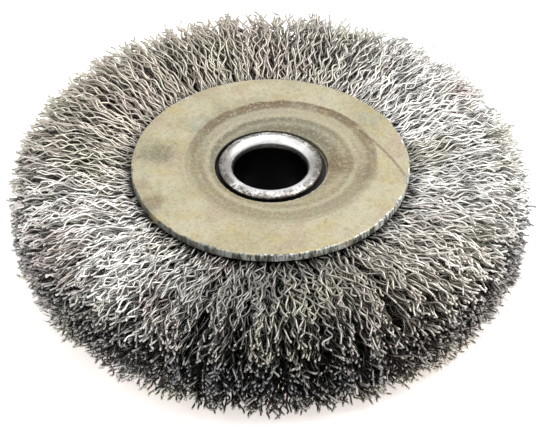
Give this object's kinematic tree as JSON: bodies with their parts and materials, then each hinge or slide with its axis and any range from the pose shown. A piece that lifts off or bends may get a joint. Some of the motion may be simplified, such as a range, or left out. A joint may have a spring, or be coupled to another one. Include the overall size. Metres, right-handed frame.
{
  "type": "crimped wire wheel brush",
  "caption": "Crimped wire wheel brush for a bench grinder: steel wires folded round a ring, held by two pressed plates and a rolled hub eyelet.",
  "frame": {"origin": "on the bore axis, in the middle plane of the wheel, at the centre of its box", "axes": "+Z along the bore (the spin axis), out of the side that faces up as the wheel lies; +X and +Y across the wheel"},
  "size_m": [0.1, 0.1, 0.0234],
  "materials": {
    "hub_steel": "bright rolled steel, scuffed",
    "plate_zinc": "dull yellowish zinc plating with stains, satin",
    "ring_steel": "drawn steel wire, dark",
    "brush_wire": "crimped steel wire, bright with a few brownish ends"
  },
  "bodies": {
    "root": {"hub_eyelet": "hub_steel", "plate_top": "plate_zinc", "plate_bottom": "plate_zinc", "core_ring": "ring_steel", "wire_bundle_01": "brush_wire", "wire_bundle_02": "brush_wire", "wire_bundle_03": "brush_wire", "wire_bundle_04": "brush_wire", "wire_bundle_05": "brush_wire", "wire_bundle_06": "brush_wire", "wire_bundle_07": "brush_wire", "wire_bundle_08": "brush_wire", "wire_bundle_09": "brush_wire", "wire_bundle_10": "brush_wire", "wire_bundle_11": "brush_wire", "wire_bundle_12": "brush_wire", "wire_bundle_13": "brush_wire", "wire_bundle_14": "brush_wire", "wire_bundle_15": "brush_wire", "wire_bundle_16": "brush_wire", "wire_bundle_17": "brush_wire", "wire_bundle_18": "brush_wire", "wire_bundle_19": "brush_wire", "wire_bundle_20": "brush_wire", "wire_bundle_21": "brush_wire", "wire_bundle_22": "brush_wire", "wire_bundle_23": "brush_wire", "wire_bundle_24": "brush_wire"}
  },
  "joints": []
}
